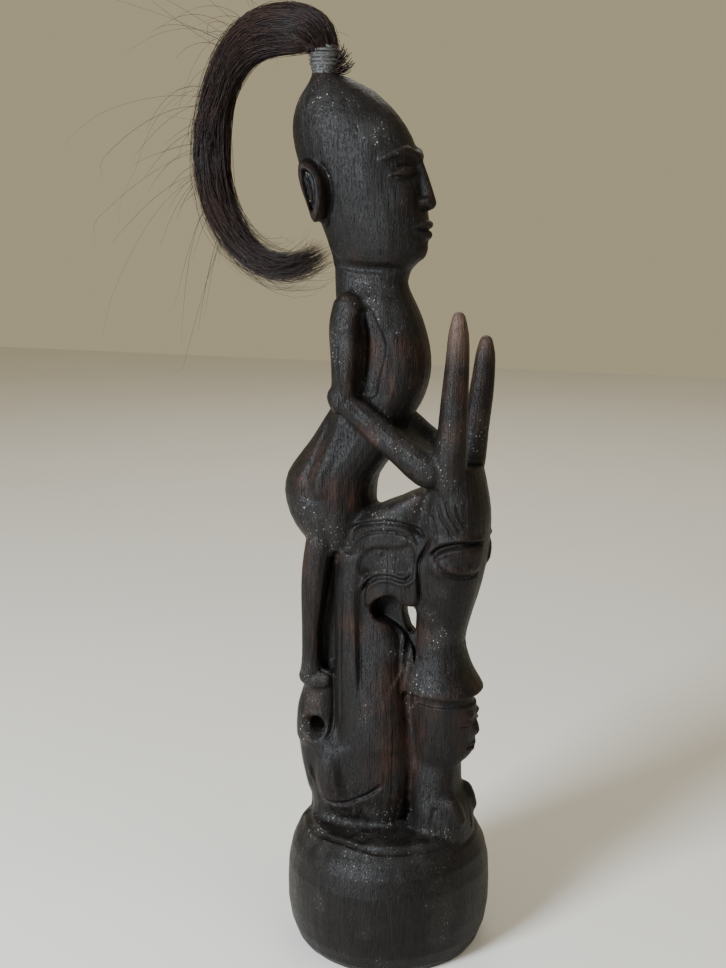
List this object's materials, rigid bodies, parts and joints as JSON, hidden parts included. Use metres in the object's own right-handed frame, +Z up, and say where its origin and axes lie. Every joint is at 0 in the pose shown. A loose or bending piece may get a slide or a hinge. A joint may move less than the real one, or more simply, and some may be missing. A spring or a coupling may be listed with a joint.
{
  "type": "carved ancestor figure",
  "caption": "Dark wood carving of a rider holding a horned beast's head, a small figure under its muzzle, on a round pedestal, with a lashed hair tuft on the crown.",
  "frame": {"origin": "centre of the pedestal's flat foot face", "axes": "+Z up, -Y the way the rider and the beast face, +X the figure's left side"},
  "size_m": [0.0676, 0.1349, 0.3047],
  "materials": {
    "wood": "dark stained hardwood, hand carved, worn to a soft sheen",
    "hair": "dark brown-black hair, lightly glossy",
    "lashing": "grey cord soaked in resin, dull"
  },
  "bodies": {
    "root": {"pedestal": "wood", "small_figure_body": "wood", "small_figure_head": "wood", "beast_haunches": "wood", "beast_body": "wood", "beast_tail": "wood", "beast_neck": "wood", "beast_head": "wood", "beast_horn_right": "wood", "beast_horn_left": "wood", "rider_hips": "wood", "rider_leg_right": "wood", "rider_leg_left": "wood", "rider_foot_right": "wood", "rider_foot_left": "wood", "rider_torso": "wood", "rider_upper_arm_right": "wood", "rider_upper_arm_left": "wood", "rider_forearm_right": "wood", "rider_forearm_left": "wood", "rider_hands": "wood", "rider_neck": "wood", "rider_head": "wood", "rider_face": "wood", "rider_ear_right": "wood", "rider_ear_left": "wood", "hair_root": "hair", "hair_lashing": "lashing", "hair_tuft": "hair", "hair_stubs": "hair", "stray_hairs": "hair"}
  },
  "joints": []
}
